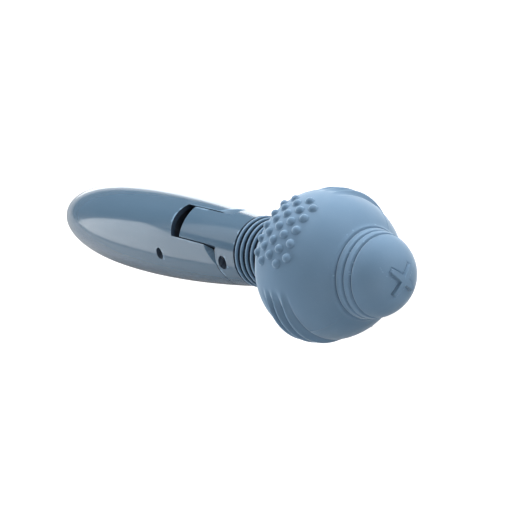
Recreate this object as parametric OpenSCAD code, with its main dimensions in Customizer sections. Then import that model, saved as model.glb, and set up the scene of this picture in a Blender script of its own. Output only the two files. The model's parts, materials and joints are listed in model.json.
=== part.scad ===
// Handheld wand massager: a hollow handle with a battery, a tilting neck, a flexible bellows and a
// soft ball head with a motor. It is drawn along X, with the tongue side up, and then laid down.

/* [Handle] */
// Length from the tail to the front edge of the neck
grip_len = 163.7; // [160:0.1:168]
// Radius of the handle at its widest point
belly_r = 20.9; // [20.6:0.1:21.6]
// Distance from the front edge of the neck back to the widest point
belly_back = 82; // [80:0.5:84]
// Wall thickness of the two handle shells
shell_wall = 2.2; // [2:0.1:2.4]
// Depth of the open window behind the tongue
window_len = 7.6; // [7:0.1:8]

/* [Neck] */
// Radius of the neck at its front edge
neck_r = 15.2; // [15:0.1:15.6]
// Wall thickness of the neck housing
neck_wall = 2; // [1.8:0.1:2.1]
// Distance of the tilt pivot behind the front edge of the neck
pivot_back = 8; // [7.8:0.1:8.2]
// Height of the tilt pivot above the centre line
pivot_up = 9.8; // [9.6:0.1:10]
// Length of the tongue behind the front edge of the neck
tongue_len = 36.6; // [35.5:0.1:37.2]
// Half width of the tongue
tongue_half = 7.85; // [7.6:0.05:7.9]

/* [Bellows] */
// Distance from one bellows groove to the next
rib_pitch = 2.92; // [2.85:0.01:2.95]
// Outer radius of the first rib
rib_r = 15.5; // [15.3:0.1:15.7]
// Loss of radius from one rib to the next
rib_taper = 0.46; // [0.4:0.01:0.5]

/* [Head] */
// Distance from the front edge of the neck to the centre of the ball
ball_x = 42.7; // [42.5:0.1:43]
// Radius of the ball
ball_r = 30.4; // [30.2:0.1:30.6]
// Radius of the nose where it leaves the ball
nose_r = 17.5; // [17.3:0.1:17.7]
// Length of the rounded nose from its base to its tip
nose_len = 18.6; // [18.2:0.1:19]
// Thickness of the soft cover
cover_wall = 3.3; // [3.2:0.1:3.5]
// Radius of each massage nodule
nodule_r = 1.9; // [1.8:0.05:2]
// Height of the side ridges above the ball
ridge_h = 1.15; // [0.9:0.05:1.3]

/* [Hidden] */
$fn = 64;

blue = [0.36, 0.46, 0.56];
soft_blue = [0.44, 0.54, 0.64];
dark = [0.09, 0.1, 0.12];
steel = [0.72, 0.73, 0.75];
brass = [0.8, 0.66, 0.36];
copper = [0.72, 0.42, 0.25];
green = [0.1, 0.35, 0.22];

// Handle outline: a superellipse behind the widest point and a power curve in front of it
tail_power = 2.3;
front_power = 1.87;
belly_x = -belly_back;
tail_len = grip_len - belly_back;
neck_front = -0.5;

// Side line between the handle and the neck
seam_gap = 0.5;
seam_low_x = -10.4;
seam_mid = [-11.7, 8.5];
seam_top_x = -12;
notch_back = [-19.9, 15.6];
notch_tip = [-11.4, 8.4];

// Slot that the tongue swings into
slot_half = 8.35;
slot_rear_x = -tongue_len - window_len;
slot_rear_r = 18;
floor_start = [-12.5, 9.2];
floor_slope = 0.552;
liner_wall = 1.3;
liner_floor = 1.8;
liner_front_x = -14;

// Hinge
bracket_rear = -34.4;
pin_r = 1.5;
pin_fit = 0.05;
lug_r = 2.9;
lug_in = 2;
lug_out = 5;
boss_in = 5.6;
boss_r = 3.8;
screw_hole_r = 2.5;
guard_r = 13.3;
guard_wall = 1.4;
guard_from = 238;
guard_sweep = 39;

// Room left between neighbouring parts
part_gap = 0.1;

// Handle inside
rib_wall = 1.6;
rib_hole_r = 12.5;
battery_r = 9.2;
battery_len = 65;
battery_x = -132;
battery_z = -5.8;
board_x = -63.6;
board_len = 17;
board_half = 9.5;
board_z = -9;
board_t = 1.6;
board_screw_at = [[board_x + 2.2, 7.8], [board_x + 2.2, -7.8]];
button_x = -56;
button_r = 6.5;
button_fit = 0.08;
button_proud = 0.4;
switch_h = 3.6;
switch_half = 3;
plunger_r = 1.5;
socket_r = 1.3;
socket_depth = 9.5;
socket_face = -162.9;
socket_seat = socket_face + 0.8;
flange_r = 4.4;
tail_boss_end = -159;
case_screw_at = [[-52, 12], [-38, -12], [-143, -8]];
case_hole_r = 2.3;
case_boss_r = 3.3;
case_head_r = 2.1;
case_shank_r = 1.2;

// Head inside
rear_open_r = 12.2;
capsule_wall = 2;
plate_x = 18.3;
shaft_r = 1.15;
shaft_len = 46.5;
bush_r = 3;
bush_len = 2.8;
can_r = 12;
can_x = 23;
can_len = 31;
core_r = 8;
core_len = 14;
weight_x = 58;
weight_len = 8;
weight_r = 9.5;
hub_r = 2.8;

// Massage nodules: rows by latitude on the ball, alternately wide and narrow
row_first = 17.4;
row_step = 8.5;
row_count = 5;
nodule_step = 11.25;
nodule_sunk = 0.3;

// ---- outlines, as [radius, x] points ----

function front_r(x) = belly_r - (belly_r - neck_r) * pow((x - belly_x) / -belly_x, front_power);

function handle_outline(inset, end_x = 0) = concat(
    [for (a = [90:-5:0]) [
        (belly_r - inset) * pow(max(cos(a), 0), 2 / tail_power),
        belly_x - (tail_len - inset) * pow(sin(a), 2 / tail_power)
    ]],
    [for (i = [1:20]) let (x = belly_x + (end_x - belly_x) * i / 20) [front_r(x) - inset, x]],
    [[0, end_x]]
);

// The ball is a sphere in front and a flatter cone behind its shoulder
shoulder = 17;
cone_slope = 44;
function ball_arc(inset) = [for (a = [-shoulder:4:52]) [
    (ball_r - inset) * cos(a),
    ball_x + (ball_r - inset) * sin(a)
]];
// A tighter arc turns the sphere into the cone
shoulder_r = 16;
function shoulder_arc(inset) = [for (a = [-cone_slope:5:-shoulder - 3]) [
    (ball_r - shoulder_r) * cos(shoulder) + (shoulder_r - inset) * cos(a),
    ball_x - (ball_r - shoulder_r) * sin(shoulder) + (shoulder_r - inset) * sin(a)
]];
// Where the cone behind the shoulder reaches a given radius
function cone_x(inset, r) = let (p = shoulder_arc(inset)[0]) p[1] - (p[0] - r) * tan(90 - cone_slope);
function nose_arc(inset) = [for (a = [4:6:88]) [
    (nose_r - inset) * cos(a),
    nose_base + (nose_len - inset) * sin(a)
]];
nose_base = 68;
function head_outline(inset, rear_r) = concat(
    [[0, cone_x(inset, rear_r)], [rear_r, cone_x(inset, rear_r)]],
    shoulder_arc(inset),
    ball_arc(inset),
    nose_arc(inset),
    [[0, nose_base + nose_len - inset]]
);

// ---- nodules ----

function row_lat(i) = row_first - i * row_step;
function row_size(i) = 5 + i % 2;
nodules = [for (i = [0:row_count - 1]) for (j = [0:row_size(i) - 1])
    [row_lat(i), (j - (row_size(i) - 1) / 2) * nodule_step]];
function nodule_centre(n) = let (r = ball_r - nodule_sunk)
    [ball_x + r * sin(n[0]), r * cos(n[0]) * sin(n[1]), r * cos(n[0]) * cos(n[1])];

// ---- lying pose: the head's lower nodules and the handle's belly both touch the ground ----

function low_of(points, a) = min([for (p = points) p[1] * sin(a) - p[0] * cos(a)]);
function head_low(a) = min([for (n = nodules) let (c = nodule_centre(n))
    c[0] * sin(a) - c[2] * cos(a)]) - nodule_r;
function solve_lay(lo, hi, n) = let (mid = (lo + hi) / 2)
    n == 0 ? mid
    : head_low(mid) > low_of(handle_outline(0), mid) ? solve_lay(lo, mid, n - 1)
    : solve_lay(mid, hi, n - 1);
lay = solve_lay(0, 12, 40);
reach_back = socket_face * cos(lay) - flange_r * sin(lay);
star_h = 0.5;
reach_front = max([for (p = nose_arc(-star_h)) p[1] * cos(lay) + p[0] * sin(lay)]);
lay_shift = [-(reach_back + reach_front) / 2, 0, -head_low(lay)];

module laid() {
    translate(lay_shift) rotate([0, -lay, 0]) children();
}

// ---- helpers ----

// Turns [radius, x] points about the X axis
module lathe(points) {
    rotate([0, 90, 0]) rotate_extrude($fn = 96) polygon(points);
}

// A cylinder along X, from x to x + len
module rod_x(x, len, r) {
    translate([x, 0, 0]) rotate([0, 90, 0]) cylinder(h = len, r = r);
}

module ring_x(x, len, r_out, r_in) {
    difference() {
        rod_x(x, len, r_out);
        rod_x(x - 1, len + 2, r_in);
    }
}

// A cylinder along Y at a point of the side view, from y0 to y1
module rod_y(at, y0, y1, r) {
    translate([at[0], y1, at[1]]) rotate([90, 0, 0]) cylinder(h = y1 - y0, r = r);
}

// A side view outline, made as thick as the object
module side(points, half = 40) {
    rotate([90, 0, 0]) translate([0, 0, -half]) linear_extrude(2 * half) polygon(points);
}

module block(x, y, z) {
    translate([x[0], y[0], z[0]]) cube([x[1] - x[0], y[1] - y[0], z[1] - z[0]]);
}

// Everything in front of the seam between the handle and the neck
module neck_side(back) {
    side([
        [seam_top_x - back, 40], [seam_top_x - back, seam_mid[1] + 5], [seam_mid[0] - back, seam_mid[1]],
        [seam_low_x - back, 3.5], [seam_low_x - back, -40], [20, -40], [20, 40]
    ]);
}

// The slot's outline seen from above, with a curved rear edge
module slot_plan(grow, low, high) {
    intersection() {
        block([-70, 20], [-slot_half - grow, slot_half + grow], [low, high]);
        union() {
            translate([slot_rear_x + slot_rear_r, 0, low]) cylinder(h = high - low, r = slot_rear_r + grow);
            block([slot_rear_x + slot_rear_r, 20], [-30, 30], [low, high]);
        }
    }
}

function floor_z(x, drop) = floor_start[1] - drop - floor_slope * (floor_start[0] - x);

module above_floor(drop) {
    side([[-70, floor_z(-70, drop)], [-70, 40], [20, 40], [20, floor_z(floor_start[0], drop)],
        [floor_start[0], floor_z(floor_start[0], drop)]]);
}

// Slanted notch beside the tongue, where the neck's shoulder dips in
module notch_cut() {
    run = notch_tip - notch_back;
    far = notch_back - run;
    beside = tongue_half + part_gap;
    for (s = [-1, 1]) {
        intersection() {
            side([far, notch_tip, [seam_low_x + 3, notch_tip[1]], [seam_low_x + 3, 40], [far[0], 40]]);
            block([-60, 10], s > 0 ? [beside, 40] : [-40, -beside], [-40, 60]);
        }
    }
}

// ---- handle ----

module handle_body() {
    difference() {
        union() {
            difference() {
                lathe(handle_outline(0));
                lathe(handle_outline(shell_wall));
            }
            intersection() {
                lathe(handle_outline(0.2));
                union() {
                    handle_ribs();
                    cheeks();
                    for (p = case_screw_at) rod_y(p, -18, 18, case_boss_r);
                    rod_x(-166, 166 + tail_boss_end, 5.4);
                }
            }
        }
        neck_side(seam_gap);
        slot_plan(0, floor_z(-42, 4), 40);
        notch_cut();
        button_hole();
        rod_x(-170, 30, 3.05);
        rod_x(-170, 170 + socket_seat, flange_r + part_gap);
        for (p = case_screw_at) case_screw_hole(p);
        for (p = board_screw_at) translate([p[0], p[1], -15]) cylinder(h = 6, r = 1.05);
    }
}

// Solid sides of the slot in front, which the notches are cut into
module cheeks() {
    beside_liner = slot_half + liner_wall + part_gap;
    for (s = [0, 180]) rotate([s, 0, 0]) {
        low = s == 0 ? 3.2 : -20;
        block([-24, seam_low_x], [beside_liner, 20], [low, low + 16.8]);
        block([liner_front_x + part_gap, seam_low_x], [slot_half, 20], [low, low + 16.8]);
    }
}

// Ribs that carry the battery, the board and the hinge bracket
module handle_ribs() {
    for (x = [battery_x - 3.4, battery_x + battery_len + 1.6]) {
        difference() {
            block([x, x + rib_wall], [-20, 20], [-20, 20]);
            rod_x(x - 1, rib_wall + 2, rib_hole_r);
        }
    }
    difference() {
        block([bracket_rear - 0.2 - rib_wall, bracket_rear - 0.2], [-20, 20], [-20, -7.2]);
        block([bracket_rear - 4, bracket_rear + 1], [-9, 9], [-12, 0]);
    }
    for (p = board_screw_at) translate([p[0], p[1], -20]) cylinder(h = 20 + board_z - board_t, r = 2);
}

module button_hole() {
    translate([button_x, 0, -30]) cylinder(h = 22, r = button_r + button_fit);
}

module case_screw_hole(p) {
    rod_y(p, -30, -6, case_hole_r);
    rod_y(p, -7, 8.5, 1.25);
}

module handle_half(s) {
    intersection() {
        handle_body();
        block([-200, 20], s > 0 ? [0, 60] : [-60, 0], [-60, 60]);
    }
}

module handle_shell_left() {
    color(blue) laid() handle_half(1);
}

module handle_shell_right() {
    color(blue) laid() handle_half(-1);
}

module case_screws() {
    color(steel) laid() for (p = case_screw_at) difference() {
        union() {
            rod_y(p, -7.9, -6.02, case_head_r);
            rod_y(p, -6.1, 8, case_shank_r);
        }
        rod_y(p, -8, -7, 0.8);
    }
}

module slot_liner() {
    color(dark) laid() difference() {
        intersection() {
            lathe(handle_outline(shell_wall + part_gap));
            slot_plan(liner_wall, -30, 30);
            above_floor(liner_floor);
            block([-60, liner_front_x], [-30, 30], [-30, 30]);
        }
        intersection() {
            slot_plan(0, -30, 40);
            above_floor(0);
        }
        notch_cut();
        rod_y(case_screw_at[0], -18, 18, case_boss_r + part_gap);
    }
}

module hinge_bracket() {
    pivot = [-pivot_back, pivot_up];
    color(dark) laid() difference() {
        union() {
            for (s = [-1, 1]) {
                rod_y(pivot, s > 0 ? lug_in : -lug_out, s > 0 ? lug_out : -lug_in, lug_r);
                intersection() {
                    bracket_arm(pivot);
                    block([-60, 10], s > 0 ? [lug_in, lug_out] : [-lug_out, -lug_in], [-30, 30]);
                }
            }
            intersection() {
                block([bracket_rear, bracket_rear + 9.8], [-20, 20], [-12.6, -7.4]);
                lathe(handle_outline(shell_wall + part_gap));
            }
        }
        rod_y(pivot, -10, 10, pin_r + pin_fit);
    }
}

// The arm runs between the swinging tongue above it and the knuckle guard below it
module bracket_arm(pivot) {
    arm_angle = 228;
    arm_len = 27;
    arm_half = 2;
    along = [cos(arm_angle), sin(arm_angle)];
    across = [-along[1], along[0]] * arm_half;
    side([pivot + across, pivot + along * arm_len + across, pivot + along * arm_len - across,
        pivot - across]);
}

module battery_cell() {
    color([0.2, 0.35, 0.6]) laid() translate([0, 0, battery_z]) {
        rod_x(battery_x, battery_len - 1.2, battery_r);
        rod_x(battery_x + battery_len - 1.2, 1.2, 3);
    }
}

module battery_cradle() {
    color(dark) laid() for (x = [battery_x + 6, battery_x + battery_len - 14]) {
        intersection() {
            difference() {
                block([x, x + 8], [-14, 14], [-20, battery_z + 4]);
                translate([0, 0, battery_z]) rod_x(x - 1, 10, battery_r + 0.05);
            }
            lathe(handle_outline(shell_wall + part_gap));
        }
    }
}

module control_board() {
    color(green) laid() difference() {
        union() {
            block([board_x, board_x + board_len], [-board_half, board_half], [board_z - board_t, board_z]);
            block([board_x + 6, board_x + 12], [-4, 3], [board_z, board_z + 1.4]);
            block([board_x + 13, board_x + 16], [-7, 6], [board_z, board_z + 3]);
        }
        for (p = board_screw_at) translate([p[0], p[1], board_z - 3]) cylinder(h = 6, r = 1.1);
    }
}

module board_screws() {
    color(steel) laid() for (p = board_screw_at) translate([p[0], p[1], board_z]) {
        cylinder(h = 1.2, r = 1.9);
        translate([0, 0, -5]) cylinder(h = 5, r = 1);
    }
}

switch_top = board_z - board_t;

module tact_switch() {
    color(dark) laid() difference() {
        block([button_x - switch_half, button_x + switch_half], [-switch_half, switch_half],
            [switch_top - switch_h, switch_top]);
        translate([button_x, 0, switch_top - switch_h - 1]) cylinder(h = 3.4, r = plunger_r + 0.08);
    }
}

plunger_low = switch_top - switch_h - 0.9;

module switch_plunger() {
    color(brass) laid() translate([button_x, 0, plunger_low]) cylinder(h = 2.4, r = plunger_r);
}

module power_button() {
    color(soft_blue) laid() intersection() {
        lathe(handle_outline(-button_proud));
        translate([button_x, 0, 0]) union() {
            translate([0, 0, -30]) cylinder(h = 30 + plunger_low - 1.2, r = button_r);
            translate([0, 0, plunger_low - 1.4]) cylinder(h = 1.4, r = 2.2);
        }
    }
}

// Soft ring between the button's skirt and the shell
module button_gasket() {
    color(dark) laid() intersection() {
        lathe(handle_outline(shell_wall));
        translate([button_x, 0, -20]) difference() {
            cylinder(h = 20 + plunger_low - 0.5, r = button_r + 0.9);
            translate([0, 0, -1]) cylinder(h = 10, r = button_r + 0.3);
        }
    }
}

module charging_socket() {
    color(dark) laid() difference() {
        union() {
            rod_x(socket_face, 13, 3);
            rod_x(socket_face, socket_seat - socket_face, flange_r);
        }
        rod_x(socket_face - 1, socket_depth + 1, socket_r);
    }
}

module socket_nut() {
    color(steel) laid() difference() {
        translate([tail_boss_end, 0, 0]) rotate([0, 90, 0]) cylinder(h = 2.4, r = 4.8, $fn = 6);
        rod_x(-160, 8, 3.03);
    }
}

// ---- neck ----

pivot_at = [-pivot_back, pivot_up];
bulkhead_screw_angles = [180, 72, -72];
bulkhead_screw_r = 10.9;

module neck_housing() {
    color(blue) laid() difference() {
        union() {
            difference() {
                neck_solid(0);
                lathe(handle_outline(neck_wall, neck_front + 1));
            }
            intersection() {
                neck_solid(0.2);
                union() {
                    rod_y(pivot_at, boss_in, 20, boss_r);
                    rod_y(pivot_at, -20, -boss_in, boss_r);
                    for (a = bulkhead_screw_angles) rotate([a, 0, 0])
                        block([-5, -2.7], [-1.9, 1.9], [bulkhead_screw_r - 1.9, 18]);
                }
            }
        }
        rod_y(pivot_at, -20, -9.4, screw_hole_r);
        rod_y(pivot_at, -10, 9.5, pin_r + 0.02);
        for (a = bulkhead_screw_angles) rotate([a, 0, 0]) translate([-6, 0, bulkhead_screw_r])
            rotate([0, 90, 0]) cylinder(h = 5, r = 0.85);
    }
}

// Outer form of the neck and its tongue
module neck_solid(inset) {
    intersection() {
        lathe(handle_outline(inset, neck_front + 1));
        block([-60, neck_front], [-30, 30], [-30, 30]);
        union() {
            neck_side(0);
            block([-tongue_len, 0], [-tongue_half, tongue_half], [8, 30]);
        }
    }
}

module hinge_pin() {
    color(steel) laid() difference() {
        union() {
            rod_y(pivot_at, -9.4, 9.2, pin_r);
            rod_y(pivot_at, -10.6, -9.4, 2.3);
        }
        rod_y(pivot_at, -11, -10, 1);
    }
}

module hinge_washers() {
    color(steel) laid() for (y = [-5.5, 5.1]) difference() {
        rod_y(pivot_at, y, y + 0.4, 2.8);
        rod_y(pivot_at, y - 1, y + 2, pin_r + 0.02);
    }
}

// Curved shell about the pivot, which closes the gap under the neck when it tilts
module knuckle_guard() {
    color(dark) laid() union() {
        translate([-pivot_back, 0, pivot_up]) rotate([90, 0, 0]) rotate([0, 0, guard_from])
            rotate_extrude(angle = guard_sweep, $fn = 96) polygon(guard_outline());
        intersection() {
            lathe(handle_outline(neck_wall + part_gap));
            difference() {
                block([-7.4, -5.2], [-20, 20], [-20, -3.4]);
                rod_x(-12, 20, guard_r - guard_wall);
            }
        }
    }
}

function guard_outline() = concat(
    [for (a = [-78:6:78]) [pivot_up + guard_r * cos(a), guard_r * sin(a)]],
    [for (a = [78:-6:-78]) [pivot_up + (guard_r - guard_wall) * cos(a), (guard_r - guard_wall) * sin(a)]]
);

module neck_bulkhead() {
    color(dark) laid() difference() {
        union() {
            rod_x(-2.6, 2.1, 13);
            rod_x(-1, 4, 4.8);
        }
        rod_x(-5, 10, 3);
        for (a = bulkhead_screw_angles) rotate([a, 0, 0]) translate([-6, 0, bulkhead_screw_r])
            rotate([0, 90, 0]) cylinder(h = 8, r = 1);
    }
}

module bulkhead_screws() {
    color(steel) laid() for (a = bulkhead_screw_angles) rotate([a, 0, 0]) translate([0, 0, bulkhead_screw_r])
        rod_x(-5, 4.45, 0.8);
}

// ---- bellows and spring ----

bellows_bore = 10.8;
function rib_points(k) = let (x = rib_pitch * (k + 0.5), r = rib_r - rib_taper * k, g = r - 2) [
    [g, x - 0.95], [r - 0.45, x - 0.9], [r, x - 0.45], [r, x + 0.45], [r - 0.45, x + 0.9], [g, x + 0.95]
];

module neck_bellows() {
    color(soft_blue) laid() lathe(concat(
        [[bellows_bore, -0.4], [12.9, -0.4], [12.9, 0.3]],
        [for (k = [0:4]) each rib_points(k)],
        [[11.7, 14.4], [11.7, 16.6], [bellows_bore, 16.6]]
    ));
}

module bellows_ring(x) {
    color(steel) laid() ring_x(x, 1.2, bellows_bore - 0.05, 10);
}

module bellows_ring_rear() {
    bellows_ring(0.4);
}

module bellows_ring_front() {
    bellows_ring(15.3);
}

spring_r = 5.8;
wire_r = 0.7;
spring_turns = 6;
spring_x = [0.4, 17.3];
spring_steps = 16;

// Coil swept as one closed tube of six-sided rings
module coupling_spring() {
    count = spring_turns * spring_steps;
    rings = [for (i = [0:count]) let (a = i * 360 / spring_steps)
        [for (j = [0:5]) let (b = j * 60, r = spring_r + wire_r * cos(b))
            [spring_x[0] + (spring_x[1] - spring_x[0]) * i / count + wire_r * sin(b),
                r * cos(a), r * sin(a)]]];
    color(steel) laid() polyhedron(
        points = [for (ring = rings) each ring],
        faces = concat(
            [[for (j = [0:5]) j]],
            [for (i = [0:count - 1]) for (j = [0:5]) each let (p = i * 6 + j, q = i * 6 + (j + 1) % 6)
                [[p, p + 6, q], [q, p + 6, q + 6]]],
            [[for (j = [5:-1:0]) count * 6 + j]]
        )
    );
}

// ---- head ----

capsule_inset = cover_wall + part_gap;
part_x = ball_x;
capsule_screw_r = 22;
capsule_screw_angles = [45, 135, 225, 315];

module capsule_form(inset) {
    lathe(head_outline(inset, 10));
}

module capsule_rear() {
    color(dark) laid() difference() {
        union() {
            difference() {
                intersection() {
                    capsule_form(capsule_inset);
                    block([plate_x, part_x], [-40, 40], [-40, 40]);
                }
                intersection() {
                    capsule_form(capsule_inset + capsule_wall);
                    block([plate_x + 2, part_x + 1], [-40, 40], [-40, 40]);
                }
            }
            ring_x(16.7, 3, 12.1, 9.9);
            rod_x(15.5, 3, 4.8);
            intersection() {
                capsule_form(capsule_inset + 0.5);
                union() {
                    for (a = capsule_screw_angles) rotate([a, 0, 0]) translate([0, 0, capsule_screw_r])
                        rod_x(30, part_x - 30, 2.8);
                    for (a = [0:90:270]) rotate([a, 0, 0])
                        block([plate_x + 1, 36], [-0.9, 0.9], [14.75, 26]);
                }
            }
        }
        rod_x(10, 12, 3);
        for (a = capsule_screw_angles) rotate([a, 0, 0]) translate([0, 0, capsule_screw_r])
            rod_x(34, 20, 1.05);
    }
}

module capsule_front() {
    color(dark) laid() difference() {
        union() {
            difference() {
                intersection() {
                    capsule_form(capsule_inset);
                    block([part_x, 90], [-40, 40], [-40, 40]);
                }
                intersection() {
                    capsule_form(capsule_inset + capsule_wall);
                    block([part_x - 1, 90], [-40, 40], [-40, 40]);
                }
            }
            intersection() {
                capsule_form(capsule_inset + 0.5);
                for (a = capsule_screw_angles) rotate([a, 0, 0]) translate([0, 0, capsule_screw_r])
                    rod_x(part_x, 5, 3.2);
            }
        }
        for (a = capsule_screw_angles) rotate([a, 0, 0]) translate([0, 0, capsule_screw_r]) {
            rod_x(part_x - 1, 10, 1.3);
            rod_x(part_x + 5, 5, 2.3);
        }
    }
}

module capsule_screws() {
    color(steel) laid() for (a = capsule_screw_angles) rotate([a, 0, 0])
        translate([0, 0, capsule_screw_r]) {
            rod_x(35, part_x + 5.05 - 35, 1);
            rod_x(part_x + 5.05, 1.6, 2);
        }
}

module cover_ring() {
    color(steel) laid() ring_x(16.9, 0.9, 12.9, 12.12);
}

// Front ring grooves around the nose
groove_x = [68.1, 71.4, 74.7];
function nose_surface(x) = nose_r * sqrt(1 - pow((x - nose_base) / nose_len, 2));

module head_cover() {
    color(soft_blue) laid() difference() {
        union() {
            lathe(head_outline(0, rear_open_r + 0.8));
            for (up = [0, 180]) rotate([up, 0, 0]) for (n = nodules)
                translate(nodule_centre(n)) sphere(r = nodule_r, $fn = 24);
            for (s = [90, 270]) rotate([s, 0, 0]) side_ridges();
            nose_star();
        }
        lathe(head_outline(cover_wall, rear_open_r));
        rod_x(0, 30, rear_open_r);
        ring_x(16.85, 1, 12.95, 12);
        for (x = groove_x) rotate([0, 90, 0]) rotate_extrude($fn = 96)
            translate([nose_surface(x) + 0.15, x]) circle(r = 0.5, $fn = 16);
    }
}

// Three crescent ridges: arcs set off-centre, so that they rise out of the ball and sink back
ridge_x = [6.4, 1.6, -2.4];
ridge_half = 42;
ridge_minor = 1.2;
ridge_shift = ridge_h / (1 - cos(ridge_half));

module side_ridges() {
    for (dx = ridge_x) {
        crest = sqrt(ball_r * ball_r - dx * dx) + ridge_h - ridge_shift;
        translate([ball_x + dx, 0, ridge_shift]) rotate([0, 90, 0]) rotate([0, 0, 180 - ridge_half])
            rotate_extrude(angle = 2 * ridge_half, $fn = 96)
                translate([crest - ridge_minor, 0]) circle(r = ridge_minor, $fn = 16);
    }
}

// Raised star with four tapering, blunt arms on the tip of the nose
star_arm = 6.9;
star_notch = 1.9;
star_tip_half = 0.75;
star_corner = 0.4;
star_side = [
    [-star_tip_half, star_arm - star_corner], [star_corner - star_tip_half, star_arm],
    [star_tip_half - star_corner, star_arm], [star_tip_half, star_arm - star_corner],
    [star_notch * sin(45), star_notch * cos(45)]
];

module nose_star() {
    intersection() {
        lathe(concat([[0, 60]], nose_arc(-star_h), [[0, nose_base + nose_len + star_h]]));
        translate([nose_base + 8, 0, 0]) rotate([90, 0, 90]) linear_extrude(20)
            polygon([for (a = [0:90:270]) for (p = star_side)
                [p[0] * cos(a) + p[1] * sin(a), p[1] * cos(a) - p[0] * sin(a)]]);
    }
}

module motor_sleeve() {
    color(dark) laid() ring_x(can_x + 2, 18, 14.7, can_r + 0.05);
}

module motor_can() {
    color(steel) laid() difference() {
        rod_x(can_x, can_len, can_r);
        rod_x(can_x - 1, can_len - 0.2, can_r - 1);
        rod_x(can_x + can_len - 5, 10, bush_r + 0.02);
    }
}

module motor_magnets() {
    color([0.25, 0.25, 0.27]) laid() for (s = [0, 180]) rotate([s, 0, 0]) intersection() {
        ring_x(can_x + 5, 20, can_r - 1.05, can_r - 3.2);
        block([0, 80], [-8.4, 8.4], [0, 20]);
    }
}

module motor_end_cap() {
    color(dark) laid() difference() {
        rod_x(can_x, 2.6, can_r - 1.05);
        rod_x(can_x - 1, 5, bush_r + 0.02);
    }
}

module motor_bush(x) {
    ring_x(x, bush_len, bush_r, shaft_r + 0.04);
}

module rear_bush() {
    color(brass) laid() motor_bush(can_x - 0.1);
}

module front_bush() {
    color(brass) laid() motor_bush(can_x + can_len - 2.4);
}

module motor_shaft() {
    color(steel) laid() rod_x(can_x - 1.5, shaft_len, shaft_r);
}

module armature() {
    color(copper) laid() difference() {
        rotate([0, 90, 0]) translate([0, 0, can_x + 8]) linear_extrude(core_len) difference() {
            circle(r = core_r, $fn = 64);
            for (a = [0, 120, 240]) rotate(a + 60) translate([6.9, 0]) square([3, 1.6], center = true);
        }
        rod_x(can_x, 40, shaft_r);
    }
}

module commutator() {
    color(brass) laid() ring_x(can_x + 3.6, 4, 2.9, shaft_r);
}

// Half disc that shakes the head as it turns
module eccentric_weight() {
    color(brass) laid() difference() {
        union() {
            intersection() {
                rod_x(weight_x, weight_len, weight_r);
                block([50, 70], [-12, 12], [-12, 0]);
            }
            rod_x(weight_x - 0.4, weight_len + 0.8, hub_r);
        }
        rod_x(50, 30, shaft_r);
    }
}

handle_shell_left();
handle_shell_right();
case_screws();
slot_liner();
hinge_bracket();
battery_cell();
battery_cradle();
control_board();
board_screws();
tact_switch();
charging_socket();
socket_nut();
button_gasket();
power_button();
switch_plunger();
neck_housing();
hinge_pin();
hinge_washers();
knuckle_guard();
neck_bulkhead();
bulkhead_screws();
bellows_ring_rear();
neck_bellows();
coupling_spring();
bellows_ring_front();
capsule_rear();
capsule_front();
capsule_screws();
cover_ring();
head_cover();
motor_sleeve();
motor_can();
motor_magnets();
motor_end_cap();
rear_bush();
front_bush();
motor_shaft();
armature();
commutator();
eccentric_weight();
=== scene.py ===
import json
import math

import bmesh
import bpy
import numpy as np
from mathutils import Matrix, Vector
from mathutils.kdtree import KDTree


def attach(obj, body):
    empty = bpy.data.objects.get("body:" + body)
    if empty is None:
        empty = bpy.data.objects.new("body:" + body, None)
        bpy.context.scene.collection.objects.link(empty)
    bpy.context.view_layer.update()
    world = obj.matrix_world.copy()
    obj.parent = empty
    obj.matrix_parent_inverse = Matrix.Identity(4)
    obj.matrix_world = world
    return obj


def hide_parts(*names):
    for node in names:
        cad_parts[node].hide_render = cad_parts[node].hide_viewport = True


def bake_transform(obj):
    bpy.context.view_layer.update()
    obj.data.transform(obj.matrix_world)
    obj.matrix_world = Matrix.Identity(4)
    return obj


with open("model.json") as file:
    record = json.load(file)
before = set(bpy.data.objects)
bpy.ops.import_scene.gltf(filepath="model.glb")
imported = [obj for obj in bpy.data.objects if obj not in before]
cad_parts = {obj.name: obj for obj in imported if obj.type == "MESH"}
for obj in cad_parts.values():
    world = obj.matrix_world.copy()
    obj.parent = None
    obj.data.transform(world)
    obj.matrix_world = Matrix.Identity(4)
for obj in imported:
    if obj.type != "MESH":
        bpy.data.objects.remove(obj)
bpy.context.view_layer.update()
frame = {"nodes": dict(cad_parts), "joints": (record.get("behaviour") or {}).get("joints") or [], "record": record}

# ---- the wand's own frame: +X to the nose, +Z to the tongue side, in millimetres ----

MM = 0.001
JOINTS = {j["name"]: j for j in frame["joints"]}
ALONG = Vector(JOINTS["rotor_spin"]["axis"])
TOP = Vector(JOINTS["neck_flex_yaw"]["axis"])
FLEX_X = 7.5
WAND = np.array((ALONG, (0, 1, 0), TOP))
WAND_ORIGIN = np.array(JOINTS["neck_flex_pitch"]["pos_m"]) - FLEX_X * MM * WAND[0]


def to_row(points):
    """Points of the wand's frame, in millimetres, as points of the row frame, in metres."""
    return np.asarray(points, float) @ WAND * MM + WAND_ORIGIN


def to_wand(points):
    """Points of the row frame, in metres, as points of the wand's frame, in millimetres."""
    return (np.asarray(points, float) - WAND_ORIGIN) @ WAND.T / MM


# ---- mesh helpers ----


def add_mesh(name, points, faces):
    """A smooth mesh object from points of the wand's frame."""
    mesh = bpy.data.meshes.new(name)
    mesh.from_pydata(to_row(points).tolist(), [], faces)
    mesh.update()
    mesh.shade_smooth()
    piece = bpy.data.objects.new(name, mesh)
    bpy.context.scene.collection.objects.link(piece)
    return piece


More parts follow.
